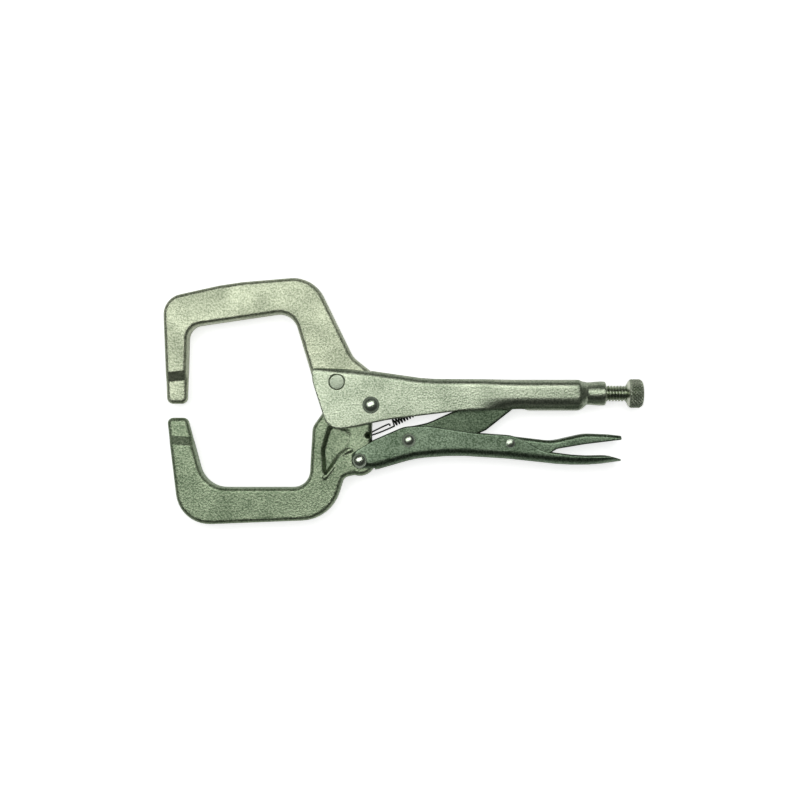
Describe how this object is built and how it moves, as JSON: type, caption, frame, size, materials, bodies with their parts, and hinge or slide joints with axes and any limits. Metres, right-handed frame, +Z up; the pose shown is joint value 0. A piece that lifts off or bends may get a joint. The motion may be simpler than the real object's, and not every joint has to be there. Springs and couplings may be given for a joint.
{
  "type": "locking c clamp",
  "caption": "Locking C-clamp lying flat: two forged jaws round a deep throat, sheet handles with a toggle link, a release lever, a return spring and a knurled adjusting screw.",
  "frame": {"origin": "on the plane that the clamp lies on, under the centre of its outline", "axes": "+X runs along the handles from the jaws to the knob, +Y runs across the throat towards the fixed jaw, +Z runs up through the thickness"},
  "size_m": [0.2794, 0.144, 0.0223],
  "materials": {
    "forging": "nickel plate over fine shot-blasted grain, satin",
    "sheet": "nickel plate over pressed sheet, satin to bright",
    "link": "nickel plate over pressed steel, satin",
    "rivet": "nickel plate, polished dome",
    "screw": "nickel plate, bright, on a rolled thread and a diamond knurl",
    "spring": "dark spring wire"
  },
  "bodies": {
    "upper_handle": {"upper_handle_shell": "sheet", "fixed_jaw": "forging", "fixed_jaw_rivet": "rivet", "jaw_pivot_rivet": "rivet", "return_spring": "spring"},
    "moving_jaw": {"moving_jaw": "forging"},
    "lower_handle": {"lower_handle_shell": "sheet", "handle_rivet": "rivet", "link_rivet": "rivet", "release_lever_rivet": "rivet"},
    "toggle_link": {"toggle_link": "link"},
    "release_lever": {"release_lever": "sheet"},
    "screw_pilot": {"screw_pilot": "screw"},
    "adjusting_screw": {"adjusting_screw": "screw"}
  },
  "joints": [
    {"name": "jaw_pivot", "type": "hinge", "parent": "upper_handle", "child": "moving_jaw", "pos_m": [-0.01852, -0.00225, 0.01115], "axis": [0, 0, 1], "range_deg": [0, 28], "deforming": ["return_spring"]},
    {"name": "handle_pivot", "type": "hinge", "parent": "moving_jaw", "child": "lower_handle", "pos_m": [-0.02512, -0.03435, 0.01115], "axis": [0, 0, 1], "range_deg": [-74, 0]},
    {"name": "link_pivot", "type": "hinge", "parent": "lower_handle", "child": "toggle_link", "pos_m": [0.00338, -0.02265, 0.01115], "axis": [0, 0, 1], "range_deg": [0, 70]},
    {"name": "release_lever_pivot", "type": "hinge", "parent": "lower_handle", "child": "release_lever", "pos_m": [0.06208, -0.02425, 0.01115], "axis": [0, 0, 1], "range_deg": [-4.5, 0]},
    {"name": "screw_feed", "type": "slide", "parent": "upper_handle", "child": "screw_pilot", "axis": [1, 0, 0], "range_m": [0, 0.018]},
    {"name": "screw_turn", "type": "hinge", "parent": "screw_pilot", "child": "adjusting_screw", "pos_m": [0.13148, 0.00445, 0.01115], "axis": [1, 0, 0], "range_deg": [0, 3600]}
  ],
  "couplings": [
    {"joint": "handle_pivot", "follows": "jaw_pivot", "ratio": -2.6303},
    {"joint": "link_pivot", "follows": "jaw_pivot", "ratio": 2.4708},
    {"joint": "screw_turn", "follows": "screw_feed", "rad_per_m": 3490.7}
  ]
}
